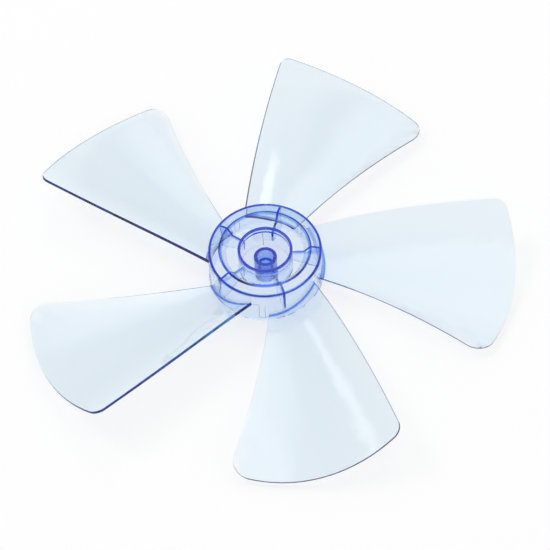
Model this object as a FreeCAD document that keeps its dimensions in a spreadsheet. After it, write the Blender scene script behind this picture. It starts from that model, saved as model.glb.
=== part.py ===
import FreeCAD, Part
import math
import os
import Sketcher

# Pedestal fan blade: a stepped hub and cambered, twisted blades moulded as one clear piece.
# Millimetres. The shaft axis is Z, the rear rim of the hub lies on Z = 0 and +Z is the front.

DIMENSIONS = [
    ("hub_base_radius", 44.7, "outside radius of the hub at its rear rim"),
    ("hub_top_radius", 44.0, "outside radius at the front rim, less by the mould draft"),
    ("hub_height", 32.0, "rear rim to front rim"),
    ("wall", 2.2, "outer wall and front skin"),
    ("rim_round", 1.6, "rounding of the front rim"),
    ("crown_radius", 34.8, "raised edge round the nut recess"),
    ("crown_rise", 1.9, "raised edge above the front rim"),
    ("recess_radius", 30.0, "flat floor that takes the nut"),
    ("recess_depth", 4.0, "recess floor below the front rim"),
    ("well_radius", 19.2, "inside of the well round the shaft boss"),
    ("well_wall", 2.1, "wall of the well"),
    ("well_depth", 22.0, "well floor below the front rim"),
    ("floor", 2.0, "well floor"),
    ("boss_radius", 9.0, "shaft boss"),
    ("boss_drop", 10.0, "boss front face below the front rim"),
    ("relief_radius", 6.3, "wide front part of the bore"),
    ("relief_depth", 10.0, "depth of the wide part"),
    ("shaft_diameter", 8.0, "motor shaft"),
    ("shaft_clearance", 0.1, "gap all round the shaft"),
    ("pin_diameter", 4.0, "drive pin across the shaft"),
    ("pin_clearance", 0.15, "gap on each side of the pin"),
    ("slot_depth", 5.0, "drive slot, from the rear rim"),
    ("web_thickness", 1.8, "webs between the well and the outer wall"),
    ("web_base", 16.5, "lower edge of the webs at the well, above the rear rim"),
    ("web_foot", 3.0, "lower edge of the webs at the outer wall, above the rear rim"),
    ("blade_count", 5, "blades, and webs"),
    ("blade_turn", 6.6, "blade centre line behind its web, degrees"),
    ("blade_start", 25.0, "first blade section, inside the hub"),
    ("blade_end", 200.0, "last blade section, just past the tip"),
    ("root_lift", 12.2, "chord height at the first section"),
    ("middle_lift", 17.6, "chord height half way out"),
    ("tip_lift", 15.6, "chord height at the last section"),
    ("root_pitch", 23.5, "blade angle at the first section, degrees"),
    ("middle_pitch", 14.0, "blade angle half way out, degrees"),
    ("tip_pitch", 12.3, "blade angle at the last section, degrees"),
    ("camber", 0.07, "depth of the section curve over its chord"),
    ("root_thickness", 2.6, "blade thickness at the hub"),
    ("tip_thickness", 2.1, "blade thickness at the tip"),
    ("lead_root", 1.5, "leading edge to one side of the centre line, at the first section"),
    ("lead_tip", 69.9, "leading edge to one side of the centre line, at the tip corner"),
    ("lead_reach", 171.1, "leading tip corner along the centre line"),
    ("lead_hollow", 5.2, "depth of the concave leading edge"),
    ("lead_corner", 14.5, "radius of the leading tip corner"),
    ("trail_root", 29.9, "trailing edge to the other side, at the first section"),
    ("trail_tip", 61.1, "trailing edge to the other side, at the tip corner"),
    ("trail_reach", 182.3, "trailing tip corner along the centre line"),
    ("trail_bow", 2.6, "bow of the trailing edge"),
    ("trail_corner", 9.5, "radius of the trailing tip corner"),
    ("tip_bow", 16.5, "bow of the tip"),
    ("section_spare", 22.0, "overhang of each blade section past the outline that trims it"),
]
SHEET = "Dimensions"

# How a sketch names the points of its edges, and its own axes.
START, END, CENTRE = range(1, 4)
X_AXIS, Y_AXIS = -1, -2
ORIGIN = (X_AXIS, START)

doc = FreeCAD.newDocument("PedestalFanBlade")
sheet = doc.addObject("Spreadsheet::Sheet", SHEET)
for row, (name, value, meaning) in enumerate(DIMENSIONS, start=1):
    sheet.set("A%d" % row, name)
    sheet.set("B%d" % row, str(value))
    sheet.set("C%d" % row, meaning)
    sheet.setAlias("B%d" % row, name)
doc.recompute()
SIZE = {name: float(sheet.get(name)) for name, value, meaning in DIMENSIONS}


def bound(formula):
    """Rewrite a formula over dimension names as an expression on the sheet."""
    words = formula.replace("(", " ( ").replace(")", " ) ").split()
    return " ".join("%s.%s" % (SHEET, word) if word in SIZE else word for word in words)


def number(formula):
    """The value a formula has with the sizes now in the sheet."""
    probe = sheet.evalExpression(bound(formula))
    return float(getattr(probe, "Value", probe))


def origin_feature(body, role):
    return next(item for item in body.Origin.OriginFeatures if item.Role == role)


def sketch_on(body, role, name):
    sketch = doc.addObject("Sketcher::SketchObject", name)
    body.addObject(sketch)
    sketch.AttachmentSupport = [(origin_feature(body, role), "")]
    sketch.MapMode = "FlatFace"
    return sketch


def drive(sketch, kind, references, formula):
    """Add a dimension to a sketch and bind it to the sheet."""
    index = sketch.addConstraint(Sketcher.Constraint(kind, *references, number(formula)))
    sketch.setExpression("Constraints[%d]" % index, bound(formula))


def place_point(sketch, point, x, y):
    """Fix a point of a sketch by two formulas that are never negative."""
    for kind, axis, formula in (("DistanceX", Y_AXIS, x), ("DistanceY", X_AXIS, y)):
        if formula == "0":
            sketch.addConstraint(Sketcher.Constraint("PointOnObject", *point, axis))
        else:
            drive(sketch, kind, (*ORIGIN, *point), formula)


def corner_arc(before, corner, after, radius):
    """The arc that rounds a corner between two straight edges."""
    back = (before - corner).normalize()
    ahead = (after - corner).normalize()
    half_angle = back.getAngle(ahead) / 2
    reach = radius / math.tan(half_angle)
    inward = (back + ahead).normalize()
    middle = corner + inward * (radius / math.sin(half_angle) - radius)
    return Part.Arc(corner + back * reach, middle, corner + ahead * reach)


def closed_profile(sketch, corners, rounds):
    """Draw straight edges through named corners, each given as two formulas, and round some corners."""
    names = list(corners)
    points = [FreeCAD.Vector(number(x), number(y), 0) for x, y in corners.values()]
    following = points[1:] + points[:1]
    arcs = {
        name: corner_arc(points[index - 1], points[index], following[index], SIZE[rounds[name]])
        for index, name in enumerate(names) if name in rounds
    }
    leaving = [arcs[name].EndPoint if name in arcs else points[index] for index, name in enumerate(names)]
    arriving = [arcs[name].StartPoint if name in arcs else points[index] for index, name in enumerate(names)]
    for start, end in zip(leaving, arriving[1:] + arriving[:1]):
        sketch.addGeometry(Part.LineSegment(start, end))
    for index, name in enumerate(names):
        before = (index - 1) % len(names)
        if name not in rounds:
            sketch.addConstraint(Sketcher.Constraint("Coincident", before, END, index, START))
            place_point(sketch, (index, START), *corners[name])
            continue
        arc = sketch.addGeometry(arcs[name])
        gaps = {end: sketch.getPoint(arc, end).distanceToPoint(arriving[index]) for end in (START, END)}
        first, last = sorted(gaps, key=gaps.get)
        sketch.addConstraint(Sketcher.Constraint("Tangent", before, END, arc, first))
        sketch.addConstraint(Sketcher.Constraint("Tangent", arc, last, index, START))
        corner = sketch.addGeometry(Part.Point(points[index]), True)
        sketch.addConstraint(Sketcher.Constraint("PointOnObject", corner, START, before))
        sketch.addConstraint(Sketcher.Constraint("PointOnObject", corner, START, index))
        place_point(sketch, (corner, START), *corners[name])
        drive(sketch, "Radius", (arc,), rounds[name])


def upright_edges(shape, x, y):
    """Names of the upright straight edges that stand at one point of the plan."""
    names = []
    for index, edge in enumerate(shape.Edges, start=1):
        ends = [vertex.Point for vertex in edge.Vertexes]
        if len(ends) == 2 and all(abs(end.x - x) + abs(end.y - y) < 0.01 for end in ends):
            names.append("Edge%d" % index)
    return names


def round_edges(body, base, names, dimension, label):
    rounding = body.newObject("PartDesign::Fillet", label)
    rounding.Base = (base, names)
    rounding.Radius = SIZE[dimension]
    rounding.setExpression("Radius", bound(dimension))
    doc.recompute()
    return rounding


# Hub: one turned profile makes the wall, the stepped front skin, the well, its floor and the boss.
hub = doc.addObject("PartDesign::Body", "Hub")
profile = sketch_on(hub, "XZ_Plane", "HubProfile")
recess_floor = "hub_height - recess_depth"
well_floor = "hub_height - well_depth"
boss_face = "hub_height - boss_drop"
bore_radius = "shaft_diameter / 2 + shaft_clearance"
well_outside = "well_radius + well_wall"
hub_corners = {
    "rear rim": ("hub_base_radius", "0"),
    "front rim": ("hub_top_radius", "hub_height"),
    "crown": ("crown_radius", "hub_height + crown_rise"),
    "recess edge": ("recess_radius", recess_floor),
    "lip foot": (well_outside, recess_floor),
    "lip outside": (well_outside, "hub_height"),
    "lip inside": ("well_radius", "hub_height"),
    "well corner": ("well_radius", well_floor),
    "boss foot": ("boss_radius", well_floor),
    "boss edge": ("boss_radius", boss_face),
    "relief edge": ("relief_radius", boss_face),
    "relief corner": ("relief_radius", boss_face + " - relief_depth"),
    "bore front": (bore_radius, boss_face + " - relief_depth"),
    "bore rear": (bore_radius, "0"),
    "boss rear": ("boss_radius", "0"),
    "floor under boss": ("boss_radius", well_floor + " - floor"),
    "floor edge": (well_outside, well_floor + " - floor"),
    "skin at well": (well_outside, recess_floor + " - wall"),
    "skin under recess": ("recess_radius + wall / 2", recess_floor + " - wall"),
    "skin under crown": ("crown_radius + wall / 2", "hub_height + crown_rise - wall"),
    "skin under rim": ("hub_top_radius - wall", "hub_height - wall"),
    "rear rim inside": ("hub_base_radius - wall", "0"),
}
closed_profile(profile, hub_corners, {"front rim": "rim_round"})
turned = hub.newObject("PartDesign::Revolution", "TurnedHub")
turned.Profile = profile
turned.ReferenceAxis = (profile, ["V_Axis"])
turned.Angle = 360
doc.recompute()

# Webs: each one follows the skin from the well to the outer wall and is buried half a wall in both.
web_profile = sketch_on(hub, "XZ_Plane", "WebProfile")
web_corners = {
    "foot at well": ("well_radius + well_wall / 2", "web_base"),
    "foot at outer wall": ("hub_top_radius - wall / 2", "web_foot"),
    "under rim": ("hub_top_radius - wall / 2", "hub_height - wall"),
    "under crown": ("crown_radius + wall / 3", "hub_height + crown_rise - wall / 2"),
    "under recess": ("recess_radius + wall / 3", recess_floor + " - wall / 2"),
    "skin at well": ("well_radius + well_wall / 2", recess_floor + " - wall / 2"),
}
closed_profile(web_profile, web_corners, {})
web = hub.newObject("PartDesign::Pad", "Web")
web.Profile = web_profile
web.SideType = "Symmetric"
web.Length = SIZE["web_thickness"]
web.setExpression("Length", bound("web_thickness"))
doc.recompute()
webs = hub.newObject("PartDesign::PolarPattern", "Webs")
webs.Originals = [web]
webs.Axis = (origin_feature(hub, "Z_Axis"), [""])
webs.Angle = 360
webs.Occurrences = int(SIZE["blade_count"])
webs.setExpression("Occurrences", bound("blade_count"))
hub.Tip = webs
doc.recompute()

# Drive slot: open at the rear face of the boss, right across it, for the pin through the shaft.
slot = doc.addObject("Part::Box", "DriveSlot")
slot_width = "( pin_diameter + 2 * pin_clearance )"
for side, formula in (
    ("Length", "2 * ( boss_radius + wall )"),
    ("Width", slot_width),
    ("Height", "slot_depth + wall"),
    ("Placement.Base.x", "- boss_radius - wall"),
    ("Placement.Base.y", "- %s / 2" % slot_width),
    ("Placement.Base.z", "- wall"),
):
    slot.setExpression(side, bound(formula))
slotted_hub = doc.addObject("Part::Cut", "SlottedHub")
slotted_hub.Base = hub
slotted_hub.Tool = slot
doc.recompute()


# Blade sections: two arcs and two short ends, drawn level, then lifted and pitched by the placement.
LOWER_ARC, UPPER_ARC = 0, 1


def blend(root, tip, share):
    return "( %s ) * %g + ( %s ) * %g" % (root, 1 - share, tip, share)


def blade_section(name, share, lift, pitch):
    chord = "( %s )" % blend("lead_root + trail_root", "lead_tip + trail_tip", share)
    offset = "( %s ) / 2" % blend("trail_root - lead_root", "trail_tip - lead_tip", share)
    thickness = "( %s )" % blend("root_thickness", "tip_thickness", share)
    radius = "%s * ( 0.25 + camber ^ 2 ) / ( 2 * camber )" % chord
    span = "%s + 2 * section_spare" % chord
    half = number(span) / 2
    bend = number(radius)
    rise = (bend ** 2 - half ** 2) ** 0.5
    centre = number("%s - camber * %s" % (radius, chord))

    section = doc.addObject("Sketcher::SketchObject", name)
    for level in (-number(thickness) / 2, number(thickness) / 2):
        left = FreeCAD.Vector(-half, centre - rise + level, 0)
        right = FreeCAD.Vector(half, centre - rise + level, 0)
        low = FreeCAD.Vector(0, centre - bend + level, 0)
        section.addGeometry(Part.Arc(left, low, right))
    for end in (START, END):
        lower, upper = (section.getPoint(arc, end) for arc in (LOWER_ARC, UPPER_ARC))
        side = section.addGeometry(Part.LineSegment(lower, upper))
        section.addConstraint(Sketcher.Constraint("Coincident", side, START, LOWER_ARC, end))
        section.addConstraint(Sketcher.Constraint("Coincident", side, END, UPPER_ARC, end))
        section.addConstraint(Sketcher.Constraint("Vertical", side))
    for arc in (LOWER_ARC, UPPER_ARC):
        section.addConstraint(Sketcher.Constraint("PointOnObject", arc, CENTRE, Y_AXIS))
        drive(section, "Radius", (arc,), radius)
    section.addConstraint(Sketcher.Constraint("Horizontal", LOWER_ARC, START, LOWER_ARC, END))
    drive(section, "DistanceX", (LOWER_ARC, START, LOWER_ARC, END), span)
    drive(section, "DistanceY", (LOWER_ARC, CENTRE, UPPER_ARC, CENTRE), thickness)
    height = "%s - camber * %s - %s / 2" % (radius, chord, thickness)
    drive(section, "DistanceY", (*ORIGIN, LOWER_ARC, CENTRE), height)

    tilt = "rotation(vector(1; 0; 0); %s)" % bound(pitch)
    stand = "rotation(vector(1; 1; 1); 120)"
    place = "vector(%s; %s; %s)" % (
        bound(blend("blade_start", "blade_end", share)), bound(offset), bound(lift))
    section.setExpression("Placement", "placement(%s; %s * %s)" % (place, tilt, stand))
    return section


sections = [
    blade_section("RootSection", 0.0, "root_lift", "root_pitch"),
    blade_section("MiddleSection", 0.5, "middle_lift", "middle_pitch"),
    blade_section("TipSection", 1.0, "tip_lift", "tip_pitch"),
]
doc.recompute()
blank = doc.addObject("Part::Loft", "BladeBlank")
blank.Sections = sections
blank.Solid = True
doc.recompute()


# Blade outline in plan: hollow leading edge, bowed tip and trailing edge, two rounded tip corners.
outline = doc.addObject("PartDesign::Body", "BladeOutline")
plan = sketch_on(outline, "XY_Plane", "BladePlan")
corners = {
    "lead root": ("blade_start", "lead_root", -1),
    "trail root": ("blade_start", "trail_root", 1),
    "trail tip": ("trail_reach", "trail_tip", 1),
    "lead tip": ("lead_reach", "lead_tip", -1),
}
spots = {
    name: FreeCAD.Vector(number(along), side * number(across), 0)
    for name, (along, across, side) in corners.items()
}
plan_edges = [
    ("lead root", "trail root", None, None),
    ("trail root", "trail tip", "trail_bow", FreeCAD.Vector(0, 1, 0)),
    ("trail tip", "lead tip", "tip_bow", FreeCAD.Vector(1, 0, 0)),
    ("lead tip", "lead root", "lead_hollow", FreeCAD.Vector(0, 1, 0)),
]
for start, end, bow, toward in plan_edges:
    if bow is None:
        plan.addGeometry(Part.LineSegment(spots[start], spots[end]))
        continue
    along = spots[end] - spots[start]
    square = FreeCAD.Vector(-along.y, along.x, 0).normalize()
    if square.dot(toward) < 0:
        square = -square
    middle = (spots[start] + spots[end]) / 2 + square * SIZE[bow]
    plan.addGeometry(Part.Arc(spots[start], middle, spots[end]))
ends = {}
for index in range(len(plan_edges)):
    for end in (START, END):
        name = min(spots, key=lambda key: spots[key].distanceToPoint(plan.getPoint(index, end)))
        ends.setdefault(name, []).append((index, end))
for name, (along, across, side) in corners.items():
    first, second = ends[name]
    plan.addConstraint(Sketcher.Constraint("Coincident", *first, *second))
    drive(plan, "DistanceX", (*ORIGIN, *first), along)
    across_points = (*ORIGIN, *first) if side > 0 else (*first, *ORIGIN)
    drive(plan, "DistanceY", across_points, across)
for index, (start, end, bow, toward) in enumerate(plan_edges):
    if bow is None:
        continue
    run = "( %s - %s )" % (corners[start][0], corners[end][0])
    join = "-" if corners[start][2] == corners[end][2] else "+"
    width = "( %s %s %s )" % (corners[start][1], join, corners[end][1])
    drive(plan, "Radius", (index,), "( %s ^ 2 + %s ^ 2 ) / ( 8 * %s ) + %s / 2" % (run, width, bow, bow))
block = outline.newObject("PartDesign::Pad", "OutlineBlock")
block.Profile = plan
block.SideType = "Symmetric"
block.Length = number("4 * hub_height")
block.setExpression("Length", bound("4 * hub_height"))
doc.recompute()
lead_edge = upright_edges(block.Shape, spots["lead tip"].x, spots["lead tip"].y)
rounded = round_edges(outline, block, lead_edge, "lead_corner", "LeadingCorner")
trail_edge = upright_edges(rounded.Shape, spots["trail tip"].x, spots["trail tip"].y)
rounded = round_edges(outline, rounded, trail_edge, "trail_corner", "TrailingCorner")
outline.Tip = rounded
doc.recompute()

# One blade: the lofted sheet inside its outline, cut off half way through the outer wall of the hub.
trimmed = doc.addObject("Part::MultiCommon", "TrimmedBlade")
trimmed.Shapes = [blank, outline]
core = doc.addObject("Part::Cone", "HubCore")
for side, formula in (
    ("Radius1", "hub_base_radius - wall / 2"),
    ("Radius2", "hub_top_radius - wall / 2"),
    ("Height", "hub_height"),
):
    core.setExpression(side, bound(formula))
blade = doc.addObject("Part::Cut", "Blade")
blade.Base = trimmed
blade.Tool = core
doc.recompute()

# The whole moulding: the hub with a blade turned to each web.
blades = []
for index in range(int(SIZE["blade_count"])):
    turn = "360 / blade_count * %d - blade_turn" % index
    copy = doc.addObject("App::Link", "Blade%d" % (index + 1))
    copy.LinkedObject = blade
    copy.LinkTransform = True
    copy.setExpression("Placement", "placement(vector(0; 0; 0); rotation(vector(0; 0; 1); %s))" % bound(turn))
    blades.append(copy)
fan = doc.addObject("Part::MultiFuse", "FanBlade")
fan.Label = "fan_blade"
fan.Shapes = [slotted_hub] + blades
fan.Refine = True
doc.recompute()

# Every object has to be sound before the moulding is written out.
for item in doc.Objects:
    if "Invalid" in item.State or "Error" in item.State:
        raise RuntimeError("%s did not build" % item.Name)
shape = fan.Shape
if shape.isNull() or not shape.isValid() or len(shape.Solids) != 1:
    raise RuntimeError("the moulding is not one sound solid")
box = shape.optimalBoundingBox()
print("fan_blade: %.1f x %.1f x %.1f mm, lowest point %.2f, volume %.1f cm3" % (
    box.XLength, box.YLength, box.ZLength, box.ZMin, shape.Volume / 1000))
os.makedirs("parts", exist_ok=True)
shape.exportStep("parts/fan_blade.step")
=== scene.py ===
# %% [markdown]
# # A clear blue fan blade
# The fan blade is one moulding: five thin, twisted blades on a stepped hub, in a pale blue plastic that
# can be seen through. Its shape comes ready from the CAD frame, in metres, with the shaft on Z and the
# front of the hub facing up. The lesson is therefore about light: how a clear plastic gets its colour,
# its dark edges and its highlights.

# %% Load the frame
import math

import bpy
from mathutils import Matrix, Vector


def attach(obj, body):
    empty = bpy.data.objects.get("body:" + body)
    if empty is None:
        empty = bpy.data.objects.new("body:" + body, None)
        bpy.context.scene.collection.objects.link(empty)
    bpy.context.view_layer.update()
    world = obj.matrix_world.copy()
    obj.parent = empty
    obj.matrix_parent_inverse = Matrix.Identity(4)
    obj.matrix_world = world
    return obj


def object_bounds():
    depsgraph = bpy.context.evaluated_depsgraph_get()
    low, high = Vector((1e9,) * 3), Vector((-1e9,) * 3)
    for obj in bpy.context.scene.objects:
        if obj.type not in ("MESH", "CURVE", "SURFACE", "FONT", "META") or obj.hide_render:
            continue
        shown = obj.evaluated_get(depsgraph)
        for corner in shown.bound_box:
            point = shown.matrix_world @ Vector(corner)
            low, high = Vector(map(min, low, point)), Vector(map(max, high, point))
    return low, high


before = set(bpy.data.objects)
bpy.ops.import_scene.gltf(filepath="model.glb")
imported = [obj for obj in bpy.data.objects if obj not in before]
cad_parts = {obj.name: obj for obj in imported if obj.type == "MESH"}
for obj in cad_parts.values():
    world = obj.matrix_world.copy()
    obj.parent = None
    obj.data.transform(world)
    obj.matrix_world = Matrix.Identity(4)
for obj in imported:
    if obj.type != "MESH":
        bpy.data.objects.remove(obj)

MM = 0.001
scene = bpy.context.scene
bpy.context.view_layer.update()
cad_box = [list(corner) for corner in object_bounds()]
fan_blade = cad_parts["fan_blade"]
print("fan blade:", len(fan_blade.data.polygons), "faces, box", cad_box)

# %% [markdown]
# ## Camera
# The photograph looks down at the front of the hub from about 55 degrees above the table, through a long
# lens, so the near and far blades are almost the same size. A camera could be turned with Euler angles,
# but two directions are easier to read: where the lens looks, and which way is right in the picture. The
# right-hand direction leans a little, because the camera was held slightly askew.

# %% Place the camera
SENSOR_WIDTH = 36.0
LENS = 163.6
CAMERA_PLACE = Vector((0.00881, -1.10836, 1.60848))
CAMERA_FORWARD = Vector((0.0, 0.5668, -0.8238)).normalized()
CAMERA_RIGHT = Vector((0.99904, -0.03607, -0.02482)).normalized()
FRAME_SHIFT = (-0.0045, -0.0018)

camera_up = CAMERA_RIGHT.cross(CAMERA_FORWARD).normalized()
turn = Matrix((CAMERA_RIGHT, camera_up, -CAMERA_FORWARD)).transposed()
camera_data = bpy.data.cameras.new("photo_camera")
camera_data.sensor_width = SENSOR_WIDTH
camera_data.lens = LENS
camera_data.shift_x, camera_data.shift_y = FRAME_SHIFT
camera = bpy.data.objects.new("photo_camera", camera_data)
camera.matrix_world = Matrix.Translation(CAMERA_PLACE) @ turn.to_4x4()
scene.collection.objects.link(camera)
scene.camera = camera
print("camera %.2f m from the hub" % CAMERA_PLACE.length)

# %% [markdown]
# ## Blade edges
# The outline of the CAD blades is cut straight down, so a pitched blade ends in a slanted face. On a
# moulding the edge is square to the blade, the leading edge is thinner, and no edge is knife sharp. In
# clear plastic this shows: a square edge that faces the camera is a dark line, because light from behind
# it is caught inside the blade, and one that faces away can hardly be seen.
# Corners that are picked and moved by hand would be lost with the next mesh. A stack of modifiers shapes
# the edges instead and leaves the CAD mesh as it is. That mesh is split along its seams, so a Weld comes
# first.

# %% Weld the seams
SEAM_GAP = 0.002 * MM


def shaped_corners():
    shaped = fan_blade.evaluated_get(bpy.context.evaluated_depsgraph_get())
    return [vertex.co.copy() for vertex in shaped.data.vertices]


weld = fan_blade.modifiers.new("weld_seams", "WELD")
weld.merge_threshold = SEAM_GAP
welded_corners = shaped_corners()
print("corners:", len(fan_blade.data.vertices), "split,", len(welded_corners), "welded")

# %% [markdown]
# ## Sums in nodes
# Geometry nodes and shaders both do their sums with Math and Vector Math nodes, and this fan blade needs
# dozens. Wired one by one they would hide what is being worked out, so short helpers add them. What a
# helper is given is either a number, which is typed into the socket, or the output of another node, which
# is linked to it. A test such as Greater Than answers 1 for yes and 0 for no, so Multiply can stand for
# "and".

# %% Write the node helpers
NUMBER_RESULTS = ("DOT_PRODUCT", "LENGTH")


def give(tree, socket, value):
    if isinstance(value, bpy.types.NodeSocket):
        tree.links.new(value, socket)
    else:
        socket.default_value = value


def math_node(tree, operation, first, second=0.0):
    node = tree.nodes.new("ShaderNodeMath")
    node.operation = operation
    give(tree, node.inputs[0], first)
    give(tree, node.inputs[1], second)
    return node.outputs[0]


def vector_node(tree, operation, first, second=(0.0, 0.0, 0.0)):
    node = tree.nodes.new("ShaderNodeVectorMath")
    node.operation = operation
    give(tree, node.inputs[0], first)
    give(tree, node.inputs["Scale" if operation == "SCALE" else 1], second)
    return node.outputs["Value" if operation in NUMBER_RESULTS else "Vector"]


def z_of(tree, vector):
    parts = tree.nodes.new("ShaderNodeSeparateXYZ")
    give(tree, parts.inputs[0], vector)
    return parts.outputs["Z"]


def away_from_shaft(tree, place):
    return vector_node(tree, "MULTIPLY", place, (1.0, 1.0, 0.0))


def distance_from_shaft(tree, place):
    return vector_node(tree, "LENGTH", away_from_shaft(tree, place))


print("node helpers:", math_node.__name__, vector_node.__name__, distance_from_shaft.__name__)

# %% [markdown]
# ## Faces of the blade and faces of the edge
# Around the outline of a blade, each corner of the mesh touches two kinds of faces: the broad ones of the
# blade, which lie almost flat, and the narrow one of the edge, which stands almost upright. The next steps
# need one normal for each kind. Faces of the other kind, and those of the hub, are multiplied by zero, and
# Evaluate on Domain, set to faces, gives each corner the mean of what is left. The True Normal is used,
# since the plain one holds the shading that came with the CAD mesh.

# %% Tell the faces apart
UPRIGHT_BELOW = 0.65
BLADES_BEGIN = 46.5 * MM


def position(group):
    return group.nodes.new("GeometryNodeInputPosition").outputs["Position"]


def normal_of_faces(group, upright):
    normal = group.nodes.new("GeometryNodeInputNormal").outputs["True Normal"]
    slope = math_node(group, "ABSOLUTE", z_of(group, normal))
    right_kind = math_node(group, "LESS_THAN" if upright else "GREATER_THAN", slope, UPRIGHT_BELOW)
    on_blade = math_node(group, "GREATER_THAN", distance_from_shaft(group, position(group)), BLADES_BEGIN)
    counts = math_node(group, "MULTIPLY", right_kind, on_blade)
    on_faces = group.nodes.new("GeometryNodeFieldOnDomain")
    on_faces.data_type = "FLOAT_VECTOR"
    on_faces.domain = "FACE"
    give(group, on_faces.inputs[0], vector_node(group, "SCALE", normal, counts))
    return vector_node(group, "NORMALIZE", on_faces.outputs[0])


blade_faces = [face for face in fan_blade.data.polygons if face.center.xy.length > BLADES_BEGIN]
edge_faces = [face for face in blade_faces if abs(face.normal.z) < UPRIGHT_BELOW]
print("faces of the blades:", len(blade_faces), "of them upright:", len(edge_faces))

# %% [markdown]
# ## Nodes as modifiers
# A Geometry Nodes modifier is a node group that a mesh goes into and another mesh comes out of. The steps
# below differ only in the one node that the mesh passes through and in what is worked out for it, so the
# rest is written once. To see whether a step did what it should, the corners that moved are counted.

# %% Write the modifier helpers
def new_modifier_nodes(name):
    group = bpy.data.node_groups.new(name, "GeometryNodeTree")
    group.interface.new_socket("Geometry", in_out="INPUT", socket_type="NodeSocketGeometry")
    group.interface.new_socket("Geometry", in_out="OUTPUT", socket_type="NodeSocketGeometry")
    return group


def add_to_blade(group, node):
    mesh_in = group.nodes.new("NodeGroupInput")
    mesh_out = group.nodes.new("NodeGroupOutput")
    group.links.new(mesh_in.outputs[0], node.inputs[0])
    group.links.new(node.outputs[0], mesh_out.inputs[0])
    modifier = fan_blade.modifiers.new(group.name, "NODES")
    modifier.node_group = group


def move_corners(group, chosen, offset):
    move = group.nodes.new("GeometryNodeSetPosition")
    give(group, move.inputs["Selection"], chosen)
    give(group, move.inputs["Offset"], offset)
    add_to_blade(group, move)


def moves_since(before):
    moves = [(new - old).length for new, old in zip(shaped_corners(), before)]
    moved = sum(move > SEAM_GAP for move in moves)
    return "%d, by up to %.2f mm" % (moved, max(moves) / MM)


print("corners moved so far:", moves_since(welded_corners))

# %% [markdown]
# ## Square edges
# Where a corner is sharper than a right angle, the normals of blade and edge point away from each other,
# and their dot product is below zero. From it follows how far, for each millimetre of thickness, that
# corner has to slide along the blade until the edge stands square. The other corner stays, so the outline
# can only shrink. Solidify could also give square edges, but only to a new mesh without thickness.

# %% Square the edges
BLADE_THICK = 2.2 * MM
HUB_WALL = 43.5 * MM
# Keeps the slide short where blade and edge face almost the same way.
LEAST_SPREAD = 0.5

group = new_modifier_nodes("square_blade_edges")
blade_side = normal_of_faces(group, upright=False)
edge_side = normal_of_faces(group, upright=True)
lean = vector_node(group, "DOT_PRODUCT", blade_side, edge_side)
along_blade = vector_node(group, "SUBTRACT", edge_side, vector_node(group, "SCALE", blade_side, lean))
spread = vector_node(group, "DOT_PRODUCT", along_blade, along_blade)
spread = math_node(group, "MAXIMUM", spread, LEAST_SPREAD)
share = math_node(group, "DIVIDE", math_node(group, "MINIMUM", lean, 0.0), spread)
slide = vector_node(group, "SCALE", along_blade, math_node(group, "MULTIPLY", share, BLADE_THICK))
outside_hub = math_node(group, "GREATER_THAN", distance_from_shaft(group, position(group)), HUB_WALL)
move_corners(group, outside_hub, slide)
squared_corners = shaped_corners()
print("corners slid inward:", moves_since(welded_corners))

# %% [markdown]
# ## Thin leading edges
# The leading edge cuts into the air, and on this blade it is thinner than the rest. It is the edge that
# faces clockwise, seen from the front: there, the cross product of the edge's normal and the direction
# away from the shaft points up. Map Range turns how far it points up into a height, and the rear corner of
# the edge is lifted by that much. Near the hub the lift starts from nothing, or the root would have a kink.

# %% Thin the leading edges
LEADING_TAPER = 1.4 * MM
LEADING_FROM, LEADING_FULL = 0.2, 0.6
TAPER_FULL = 85.0 * MM


def map_range(tree, value, start, end, from_value, to_value, kind="LINEAR"):
    node = tree.nodes.new("ShaderNodeMapRange")
    node.interpolation_type = kind
    give(tree, node.inputs["Value"], value)
    give(tree, node.inputs["From Min"], start)
    give(tree, node.inputs["From Max"], end)
    give(tree, node.inputs["To Min"], from_value)
    give(tree, node.inputs["To Max"], to_value)
    return node.outputs["Result"]


def along_z(tree, value):
    parts = tree.nodes.new("ShaderNodeCombineXYZ")
    give(tree, parts.inputs["Z"], value)
    return parts.outputs["Vector"]


group = new_modifier_nodes("thin_leading_edges")
place = position(group)
reach = distance_from_shaft(group, place)
outward = vector_node(group, "NORMALIZE", away_from_shaft(group, place))
around = vector_node(group, "CROSS_PRODUCT", normal_of_faces(group, upright=True), outward)
taper = map_range(group, z_of(group, around), LEADING_FROM, LEADING_FULL, 0.0, LEADING_TAPER)
growth = map_range(group, reach, BLADES_BEGIN, TAPER_FULL, 0.0, 1.0)
lift = along_z(group, math_node(group, "MULTIPLY", taper, growth))
on_rear = math_node(group, "LESS_THAN", z_of(group, normal_of_faces(group, upright=False)), 0.0)
on_blade = math_node(group, "GREATER_THAN", reach, BLADES_BEGIN)
move_corners(group, math_node(group, "MULTIPLY", on_rear, on_blade), lift)
print("corners lifted:", moves_since(squared_corners))

# %% [markdown]
# ## Rounded corners
# A mould leaves no knife-sharp corner along a blade. The Bevel modifier could choose corners by angle
# alone, but would then round the rims and webs of the hub as well. Nodes choose the bent edges that lie
# out on the blades, down to the hub wall, and store a 1 for each in bevel_weight_edge. That is the
# attribute that a Bevel limited by weight reads.

# %% Round the corners
CORNER_ANGLE = math.radians(32.0)
EDGE_RADIUS = 0.3 * MM
EDGE_STEPS = 3

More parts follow.
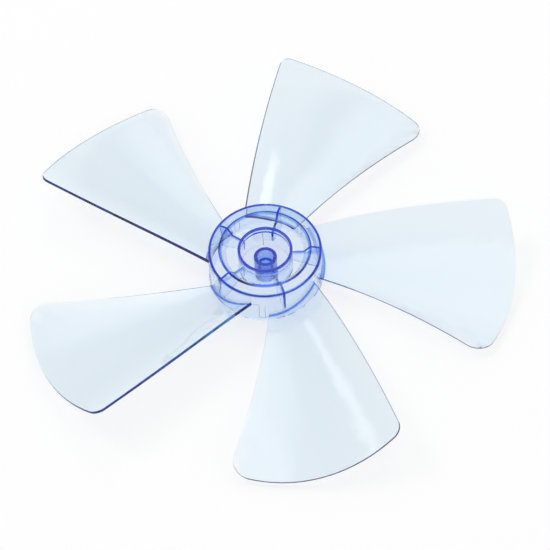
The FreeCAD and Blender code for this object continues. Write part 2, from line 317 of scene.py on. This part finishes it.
group = new_modifier_nodes("mark_blade_edges")
angle = group.nodes.new("GeometryNodeInputMeshEdgeAngle").outputs["Signed Angle"]
ends = group.nodes.new("GeometryNodeInputMeshEdgeVertices")
reaches = [distance_from_shaft(group, ends.outputs[end]) for end in ("Position 1", "Position 2")]
bent = math_node(group, "GREATER_THAN", angle, CORNER_ANGLE)
outside_hub = math_node(group, "GREATER_THAN", math_node(group, "MINIMUM", *reaches), HUB_WALL)
on_blade = math_node(group, "GREATER_THAN", math_node(group, "MAXIMUM", *reaches), BLADES_BEGIN)
bent_outside = math_node(group, "MULTIPLY", bent, outside_hub)
store = group.nodes.new("GeometryNodeStoreNamedAttribute")
store.data_type = "FLOAT"
store.domain = "EDGE"
store.inputs["Name"].default_value = "bevel_weight_edge"
store.inputs["Value"].default_value = 1.0
give(group, store.inputs["Selection"], math_node(group, "MULTIPLY", bent_outside, on_blade))
add_to_blade(group, store)
rounding = fan_blade.modifiers.new("round_blade_edges", "BEVEL")
rounding.limit_method = "WEIGHT"
rounding.width = EDGE_RADIUS
rounding.segments = EDGE_STEPS
rounding.use_clamp_overlap = False
print("corners:", len(squared_corners), "before rounding,", len(shaped_corners()), "after")

# %% [markdown]
# ## Normals
# The normals that came with the CAD mesh no longer fit the new edges. They are removed, and only edges that
# bend by more than SHADE_ANGLE stay sharp. Shade Smooth alone would let the narrow roundings bend the
# shading of the broad faces, and clear plastic shows that as a grey smear. The Weighted Normal modifier
# lets large faces count for more, so that they stay flat up to the rounding.

# %% Shade by angle
SHADE_ANGLE = math.radians(42.0)

group = new_modifier_nodes("shade_by_angle")
angle = group.nodes.new("GeometryNodeInputMeshEdgeAngle").outputs["Unsigned Angle"]
normals = group.nodes.new("GeometryNodeSetMeshNormal")
normals.mode = "SHARPNESS"
normals.inputs["Remove Custom"].default_value = True
give(group, normals.inputs["Edge Sharpness"], math_node(group, "GREATER_THAN", angle, SHADE_ANGLE))
add_to_blade(group, normals)
flat_faces = fan_blade.modifiers.new("keep_faces_flat", "WEIGHTED_NORMAL")
flat_faces.keep_sharp = True
print("modifiers:", ", ".join(modifier.name for modifier in fan_blade.modifiers))

# %% [markdown]
# ## Clear plastic
# Clear plastic has no paint. Light is tinted on its way through: red is taken first, then green, and blue
# hardly at all. A thin blade stays nearly white, while a ray that runs along a web or a rim comes out
# deep blue. Painted lines would fail from another side, so a volume takes the light. The numbers say how
# strongly it takes red, green and blue, per metre. A Volume Absorption node has one density for all three,
# and its own colour holds back what isn't to be taken.
# Light can cross the hub many times before it gets out. Cycles gives up after a dozen bounces, which would
# leave black specks, so the limits are raised.

# %% Take light by the metre
HUB_TAKES = (51.0, 32.0, 4.8)
BLADE_TAKES = (48.0, 27.0, 9.5)
DENSITY_MARGIN = 1.1
LIGHT_BOUNCES = 96
TEST_PATH = 10.0 * MM


def absorption(tree, takes, strength, strongest):
    density = max(takes) * DENSITY_MARGIN
    held_back = [1.0 - taken / density for taken in takes]
    node = tree.nodes.new("ShaderNodeVolumeAbsorption")
    node.inputs["Color"].default_value = (*held_back, 1.0)
    give(tree, node.inputs["Density"], math_node(tree, "MULTIPLY", strength, density * strongest))
    return node.outputs["Volume"]


scene.cycles.max_bounces = LIGHT_BOUNCES
scene.cycles.transmission_bounces = LIGHT_BOUNCES
scene.cycles.glossy_bounces = LIGHT_BOUNCES
scene.cycles.blur_glossy = 0.0
light_left = tuple(math.exp(-taken * TEST_PATH) for taken in HUB_TAKES)
print("left after %.0f mm of hub: red %.2f, green %.2f, blue %.2f" % (TEST_PATH / MM, *light_left))

# %% [markdown]
# ## Deeper tint in the hub
# In the real moulding light is caught between the walls of the hub and travels much further than it does
# here. To stand in for that, the hub takes several times as much where it is seen on end: at the boss, the
# webs, the lip of the well, the crown, the rim and the blade roots. Each of these could be a volume object
# of its own, but the hub is round, so a radius and a height are enough to find them.
# Each band below starts at a height and lists radii with the strength from there outward, in millimetres.

# %% List the tint bands
HUB_END = 46.3
TINT_BANDS = (
    # Boss and blade roots.
    (0.0, ((0.0, 5.2), (9.15, 1.0), (19.0, 1.1), (21.5, 1.2), (41.7, 1.4), (44.72, 13.0), (HUB_END, 0.0))),
    # Webs just under the floor of the recess, and blade roots.
    (23.4, ((0.0, 1.0), (19.0, 1.1), (21.5, 9.0), (41.7, 1.4), (44.72, 13.0), (HUB_END, 0.0))),
    # Webs under the front skin.
    (25.7, ((0.0, 1.0), (36.4, 6.0), (41.7, 1.4), (HUB_END, 0.0))),
    # Crown and rim.
    (29.7, ((0.0, 1.0), (33.8, 4.0), (35.7, 1.2), (42.2, 18.0), (HUB_END, 0.0))),
    # Lip of the well, crown and rim.
    (30.8, ((0.0, 1.0), (19.0, 60.0), (21.4, 1.1), (33.8, 10.0), (35.7, 1.2), (42.2, 20.0), (HUB_END, 0.0))),
)
strongest_tint = max(times for start, steps in TINT_BANDS for radius, times in steps)
print("tint bands in the hub:", len(TINT_BANDS), "the strongest %.0f times" % strongest_tint)

# %% [markdown]
# ## Bands in the volume
# A Color Ramp that doesn't blend holds one band: its positions are shares of RADIUS_SPAN and its greys are
# shares of the strongest tint. Mix nodes then choose the band by height. Past the hub the bands end at
# zero, and the blades have an absorption of their own. Cycles samples a changing volume in steps, and its
# usual step is wider than these bands, so the step is made fifty times shorter.

# %% Strengthen the hub
RADIUS_SPAN = 50.0 * MM
TINT_STEP_RATE = 0.02
# The Mix node has sockets for every kind of value; these are the ones for colours.
MIX_SHARE, MIX_LOW, MIX_HIGH, MIX_RESULT = 0, 6, 7, 2


def mix_colours(tree, share, low, high):
    node = tree.nodes.new("ShaderNodeMix")
    node.data_type = "RGBA"
    give(tree, node.inputs[MIX_SHARE], share)
    give(tree, node.inputs[MIX_LOW], low)
    give(tree, node.inputs[MIX_HIGH], high)
    return node.outputs[MIX_RESULT]


def strength_by_radius(tree, radius, steps):
    ramp = tree.nodes.new("ShaderNodeValToRGB")
    ramp.color_ramp.interpolation = "CONSTANT"
    stops = ramp.color_ramp.elements
    stops.remove(stops[-1])
    for number, (start, times) in enumerate(steps):
        place_on_ramp = start * MM / RADIUS_SPAN
        stop = stops[0] if number == 0 else stops.new(place_on_ramp)
        stop.position = place_on_ramp
        grey = times / strongest_tint
        stop.color = (grey, grey, grey, 1.0)
    give(tree, ramp.inputs["Fac"], radius)
    return ramp.outputs["Color"]


def tint_the_volume(tree, place):
    radius = math_node(tree, "MULTIPLY", distance_from_shaft(tree, place), 1.0 / RADIUS_SPAN)
    height = z_of(tree, place)
    strength = strength_by_radius(tree, radius, TINT_BANDS[0][1])
    for start, steps in TINT_BANDS[1:]:
        higher = math_node(tree, "GREATER_THAN", height, start * MM)
        strength = mix_colours(tree, higher, strength, strength_by_radius(tree, radius, steps))
    on_blade = math_node(tree, "GREATER_THAN", radius, HUB_END * MM / RADIUS_SPAN)
    together = tree.nodes.new("ShaderNodeAddShader")
    give(tree, together.inputs[0], absorption(tree, HUB_TAKES, strength, strongest_tint))
    give(tree, together.inputs[1], absorption(tree, BLADE_TAKES, on_blade, 1.0))
    give(tree, tree.nodes["Material Output"].inputs["Volume"], together.outputs[0])


print("ramps reach out to %.0f mm" % (RADIUS_SPAN / MM))

# %% [markdown]
# ## Flow lines
# Melted plastic runs into the mould from the hub outward and leaves faint streaks along the blades,
# a little deeper in colour and less smooth. Noise stretched along the radius gives the same: its
# coordinates are the direction from the shaft, which changes quickly across a blade, and the distance in
# metres, which changes little from hub to tip.

# %% Draw the flow lines
FLOW_SCALE = 9.0
FLOW_DETAIL = 3.0


def flow_noise(tree, place):
    around = vector_node(tree, "NORMALIZE", away_from_shaft(tree, place))
    along = along_z(tree, distance_from_shaft(tree, place))
    noise = tree.nodes.new("ShaderNodeTexNoise")
    noise.inputs["Scale"].default_value = FLOW_SCALE
    noise.inputs["Detail"].default_value = FLOW_DETAIL
    give(tree, noise.inputs["Vector"], vector_node(tree, "ADD", around, along))
    return noise.outputs["Fac"]


print("flow lines: noise at scale", FLOW_SCALE)

# %% [markdown]
# ## Polish
# The mould is polished, so the plastic reflects the room sharply and bends what is seen through it. A
# Glass shader could do that, but the Principled one is more widely read by other programs. With its
# transmission at 1 it only needs an index, a colour close to white and a little roughness. The flow lines
# vary the last two.

# %% Mix the plastic
PLASTIC_INDEX = 1.57
PALE_BLUE = (0.970, 0.994, 1.0, 1.0)
FLOW_BLUE = (0.930, 0.976, 1.0, 1.0)
SMOOTH, DULL = 0.012, 0.030


def make_plastic(name, pale, deep, clear):
    material = bpy.data.materials.new(name)
    material.use_nodes = True
    tree = material.node_tree
    plastic = tree.nodes["Principled BSDF"]
    plastic.inputs["Transmission Weight"].default_value = 1.0 if clear else 0.0
    plastic.inputs["IOR"].default_value = PLASTIC_INDEX
    place = tree.nodes.new("ShaderNodeTexCoord").outputs["Object"]
    flow = flow_noise(tree, place)
    give(tree, plastic.inputs["Base Color"], mix_colours(tree, flow, pale, deep))
    give(tree, plastic.inputs["Roughness"], map_range(tree, flow, 0.0, 1.0, SMOOTH, DULL))
    if clear:
        tint_the_volume(tree, place)
        material.cycles.volume_step_rate = TINT_STEP_RATE
    return material


clear_blue = make_plastic("clear_blue_plastic_moulded", PALE_BLUE, FLOW_BLUE, clear=True)
for slot in fan_blade.material_slots:
    slot.material = clear_blue
print("plastic on", len(fan_blade.material_slots), "slot,", len(clear_blue.node_tree.nodes), "nodes")

# %% [markdown]
# ## Mould lines and painted reflections
# Where the halves of a mould meet, the part keeps a hairline. Between two blades it steps down the hub
# wall, from the trailing edge of one blade to the leading edge of the next. The upright line beside it and
# the line inside the well are painted reflections. Where the near hub wall and the far wall of the well face
# the camera, the gloss mirrors the dark opening around the camera as a thin dark streak, and a dark ribbon
# stands in for it. The well line has the dot of a pin at its top. A bump map could draw the lines, but a line
# this thin is easier to place as a tiny raised ribbon that follows the wall. The corners of each line are
# given as an angle round the shaft in degrees and a height in millimetres. Long runs are cut into small
# steps, so that they follow the curve of the wall.

# %% Follow the walls
HUB_FOOT_RADIUS = 44.7
HUB_DRAFT = 0.7 / 32.0
WELL_RADIUS = 19.2
WALL_LINE = ((45.6, 20.8), (52.3, 20.6), (52.3, 4.3), (58.2, 3.9), (61.6, 5.6))
# Painted reflection: the dark opening around the camera, mirrored where the near hub wall faces it; copied to
# every blade.
WALL_REFLECTION_LINE = ((58.2, 19.0), (58.2, 3.9))
# Painted reflection: the dark opening around the camera, mirrored on the far wall of the well.
WELL_REFLECTION_LINE = ((94.2, 25.2), (93.0, 10.4))
WELL_DOT = ((94.35, 26.1), (94.25, 25.3))
FEWEST_STEPS = 2


def round_the_shaft(degrees, radius, height):
    angle = math.radians(degrees)
    return Vector((radius * math.cos(angle), radius * math.sin(angle), height)) * MM


def hub_wall_point(degrees, height, proud):
    return round_the_shaft(degrees, HUB_FOOT_RADIUS - HUB_DRAFT * height + proud, height)


def well_wall_point(degrees, height, proud):
    return round_the_shaft(degrees, WELL_RADIUS - proud, height)


def fine_steps(corners):
    steps = []
    for (from_angle, from_height), (to_angle, to_height) in zip(corners, corners[1:]):
        count = max(FEWEST_STEPS, round(abs(to_angle - from_angle)))
        for number in range(count):
            part = number / count
            steps.append((from_angle + (to_angle - from_angle) * part,
                          from_height + (to_height - from_height) * part))
    return steps + [corners[-1]]


print("steps of a line on the hub wall:", len(fine_steps(WALL_LINE)))

# %% [markdown]
# ## Ribbons
# Each ribbon is a row of small four-cornered sections, set square to its run and joined by faces, with a
# face at each end. A curve with a bevel could do the same, but would round the ribbon and let it twist. The
# section is a little sunk into the wall, so that no gap shows under it.

# %% Sweep the ribbons
LINE_PROUD = 0.06
LINE_SUNK = 0.02
SECTION = ((-LINE_SUNK, -1), (LINE_PROUD, -1), (LINE_PROUD, 1), (-LINE_SUNK, 1))


def ribbon_points(steps, on_wall, width):
    points = []
    for number, (degrees, height) in enumerate(steps):
        before, after = steps[max(0, number - 1)], steps[min(len(steps) - 1, number + 1)]
        run = (on_wall(*after, 0.0) - on_wall(*before, 0.0)).normalized()
        outward = (on_wall(degrees, height, 1.0) - on_wall(degrees, height, 0.0)).normalized()
        side = outward.cross(run).normalized() * (width * MM / 2)
        points += [on_wall(degrees, height, depth) + side * way for depth, way in SECTION]
    return points


def ribbon_faces(step_count, first):
    ring = len(SECTION)
    faces = []
    for start in range(first, first + ring * (step_count - 1), ring):
        for corner in range(ring):
            following = (corner + 1) % ring
            faces.append((start + corner, start + following, start + ring + following, start + ring + corner))
    last = first + ring * (step_count - 1)
    faces.append(tuple(reversed(range(first, first + ring))))
    faces.append(tuple(range(last, last + ring)))
    return faces


print("faces of a line on the hub wall:", len(ribbon_faces(len(fine_steps(WALL_LINE)), 0)))

# %% [markdown]
# ## All the lines
# The lines on the hub wall come once for each blade, turned with it, and the painted reflection comes with
# them. All ribbons go into one mesh, since they are one finish and never move apart; separate objects would
# only make the list longer. The hairline is rough and scatters light, so its plastic isn't clear. The same
# darker plastic paints the reflected dark streaks.

# %% Lay the mould lines
BLADES = 5
BLADE_TURN = -6.6
LINE_WIDTH = 0.34
DOT_WIDTH = 0.8
# Colours of the hairlines and of the painted reflection lines.
SEAM_AND_REFLECTION_PALE = (0.33, 0.45, 0.80, 1.0)
SEAM_AND_REFLECTION_DEEP = (0.25, 0.36, 0.74, 1.0)

lines = []
for number in range(BLADES):
    blade_angle = BLADE_TURN + 360.0 / BLADES * number
    for corners in (WALL_LINE, WALL_REFLECTION_LINE):
        turned = tuple((degrees + blade_angle, height) for degrees, height in corners)
        lines.append((turned, hub_wall_point, LINE_WIDTH))
# The well line is a painted reflection; the dot at its top stands for a pin mark.
lines.append((WELL_REFLECTION_LINE, well_wall_point, LINE_WIDTH))
lines.append((WELL_DOT, well_wall_point, DOT_WIDTH))
points, faces = [], []
for corners, on_wall, width in lines:
    steps = fine_steps(corners)
    faces += ribbon_faces(len(steps), len(points))
    points += ribbon_points(steps, on_wall, width)
# The hairlines and the painted reflection lines share one mesh and one darker plastic.
lines_mesh = bpy.data.meshes.new("mould_and_reflection_lines")
lines_mesh.from_pydata(points, [], faces)
lines_mesh.materials.append(make_plastic("clear_blue_plastic_seam_and_reflection", SEAM_AND_REFLECTION_PALE, SEAM_AND_REFLECTION_DEEP, clear=False))
mould_and_reflection_lines = bpy.data.objects.new("mould_and_reflection_lines", lines_mesh)
scene.collection.objects.link(mould_and_reflection_lines)
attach(mould_and_reflection_lines, "root")
print("mould lines:", len(lines), "ribbons,", len(faces), "faces")

# %% [markdown]
# ## White sheet
# The blade lies on a white sheet. Part of the sheet's brightness is light that it reflects, and part is a
# glow that only the camera, mirrors and glass can see. The glow keeps the sheet paper white, under the
# plastic too, without lighting the blade any further. A stronger lamp could whiten the sheet as well, but
# it would wash out the shadow.

# %% Lay the sheet
SHEET_SIZE = 12.0
SHEET_BELOW = 0.2 * MM
SHEET_WHITE = 0.5
SHEET_GLOW = 0.581


def make_sheet_white():
    material = bpy.data.materials.new("white_sheet")
    material.use_nodes = True
    tree = material.node_tree
    tree.nodes.remove(tree.nodes["Principled BSDF"])
    paper = tree.nodes.new("ShaderNodeBsdfDiffuse")
    paper.inputs["Color"].default_value = (SHEET_WHITE, SHEET_WHITE, SHEET_WHITE, 1.0)
    ray = tree.nodes.new("ShaderNodeLightPath").outputs
    sees_glow = math_node(tree, "MAXIMUM", ray["Is Camera Ray"], ray["Is Glossy Ray"])
    sees_glow = math_node(tree, "MAXIMUM", sees_glow, ray["Is Transmission Ray"])
    glow = tree.nodes.new("ShaderNodeEmission")
    give(tree, glow.inputs["Strength"], math_node(tree, "MULTIPLY", sees_glow, SHEET_GLOW))
    both = tree.nodes.new("ShaderNodeAddShader")
    give(tree, both.inputs[0], paper.outputs["BSDF"])
    give(tree, both.inputs[1], glow.outputs["Emission"])
    give(tree, tree.nodes["Material Output"].inputs["Surface"], both.outputs["Shader"])
    return material


half = SHEET_SIZE / 2
sheet_mesh = bpy.data.meshes.new("white_sheet")
sheet_mesh.from_pydata(
    [(-half, -half, 0.0), (half, -half, 0.0), (half, half, 0.0), (-half, half, 0.0)], [], [(0, 1, 2, 3)])
sheet_mesh.materials.append(make_sheet_white())
sheet = bpy.data.objects.new("white_sheet", sheet_mesh)
sheet.location.z = cad_box[0][2] - SHEET_BELOW
scene.collection.objects.link(sheet)
print("sheet at %.4f m" % sheet.location.z)

# %% [markdown]
# ## Shadow lamps
# The shadows in the photograph are faint and soft and fall toward the camera and to the right. Two large
# disc lamps, from behind and from the left, draw them; a sun lamp would give hard edges. The lamps are
# hidden from mirrors and glass, since a lamp this strong would burn holes in the gloss.

# %% Hang the shadow lamps
SHADOW_LAMPS = (
    ("left_lamp", (-0.60, 0.40, 0.69), 2.2, 34.0),
    ("back_lamp", (0.05, 0.75, 0.66), 2.7, 16.0),
)
LAMP_AWAY = 6.0

for name, aim, size, power in SHADOW_LAMPS:
    lamp_data = bpy.data.lights.new(name, "AREA")
    lamp_data.shape = "DISK"
    lamp_data.size = size
    lamp_data.energy = power
    lamp = bpy.data.objects.new(name, lamp_data)
    lamp.location = Vector(aim).normalized() * LAMP_AWAY
    lamp.rotation_euler = Vector(aim).to_track_quat("Z", "Y").to_euler()
    lamp.visible_glossy = False
    lamp.visible_transmission = False
    scene.collection.objects.link(lamp)
    print(name, "%.1f m wide, %.0f W" % (size, power))

# %% [markdown]
# ## Panels in the gloss
# The shine on the blades is the room in a mirror. Following the mirror directions from the highlights in
# the photograph back into the room finds a broad panel overhead, a strip at the left that draws the long
# streak on the nearest blade, and a small round one at the right. Area lamps could hang there, but
# soft-edged patches painted on the world give smoother highlights and no noise. A round patch is a soft
# step of the angle to its middle. The strip is a soft step across it times one along it.

# %% Cut the panels
STRIP_ENDS = ((-0.59, 0.53, 0.61), (-0.60, 0.26, 0.76))
STRIP_EDGE = (4.2, 0.4)
STRIP_FADE = (4.0, -2.0)
STRIP_STRENGTH = 1.05


def soft_step(tree, value, start, end, from_value, to_value):
    return map_range(tree, value, start, end, from_value, to_value, "SMOOTHSTEP")


def round_panel(tree, direction, aim, outer, inner, strength):
    closeness = vector_node(tree, "DOT_PRODUCT", direction, Vector(aim).normalized())
    start, end = (math.cos(math.radians(edge)) for edge in (outer, inner))
    return soft_step(tree, closeness, start, end, 0.0, strength)


def strip_panel(tree, direction):
    first, last = (Vector(end).normalized() for end in STRIP_ENDS)
    half_length = first.angle(last) / 2
    off_line = vector_node(tree, "DOT_PRODUCT", direction, first.cross(last).normalized())
    start, end = (math.sin(math.radians(edge)) for edge in STRIP_EDGE)
    width = soft_step(tree, math_node(tree, "ABSOLUTE", off_line), start, end, 0.0, STRIP_STRENGTH)
    closeness = vector_node(tree, "DOT_PRODUCT", direction, (first + last).normalized())
    start, end = (math.cos(half_length + math.radians(fade)) for fade in STRIP_FADE)
    length = soft_step(tree, closeness, start, end, 0.0, 1.0)
    return math_node(tree, "MULTIPLY", width, length)


strip_angle = Vector(STRIP_ENDS[0]).angle(Vector(STRIP_ENDS[1]))
print("strip panel: %.1f degrees long" % math.degrees(strip_angle))

# %% [markdown]
# ## White room
# The room around the panels is an even pale grey. Near the horizon it is as bright as the sheet, so that
# no line shows in the gloss where one ends and the other begins. Patches that overlap aren't added up:
# the brightest one counts.

# %% Light the room
WALL_LIGHT = 0.60
HORIZON_LIGHT = 0.40
HORIZON_TOP = 0.30
PANELS = (
    ("overhead", (0.12, 0.22, 0.97), 21.0, 15.0, 0.75),
    ("overhead, far half", (0.02, 0.56, 0.83), 22.0, 10.0, 0.60),
    ("right", (0.68, 0.22, 0.70), 7.0, 1.0, 2.0),
)


def make_white_room():
    world = bpy.data.worlds.new("white_room")
    world.use_nodes = True
    tree = world.node_tree
    direction = tree.nodes.new("ShaderNodeTexCoord").outputs["Generated"]
    brightest = soft_step(tree, z_of(tree, direction), 0.0, HORIZON_TOP, HORIZON_LIGHT, 0.0)
    brightest = math_node(tree, "MAXIMUM", brightest, strip_panel(tree, direction))
    for name, aim, outer, inner, strength in PANELS:
        panel = round_panel(tree, direction, aim, outer, inner, strength)
        brightest = math_node(tree, "MAXIMUM", brightest, panel)
    background = tree.nodes["Background"]
    background.inputs["Color"].default_value = (1.0, 1.0, 1.0, 1.0)
    give(tree, background.inputs["Strength"], math_node(tree, "ADD", brightest, WALL_LIGHT))
    return world


scene.world = make_white_room()
print("panels in the room: strip at the left;", "; ".join(panel[0] for panel in PANELS))

# %% [markdown]
# ## Finish
# The Standard view keeps white as white, where a filmic one would turn the sheet grey.

# %% Set the view
scene.view_settings.view_transform = "Standard"
bpy.context.view_layer.update()
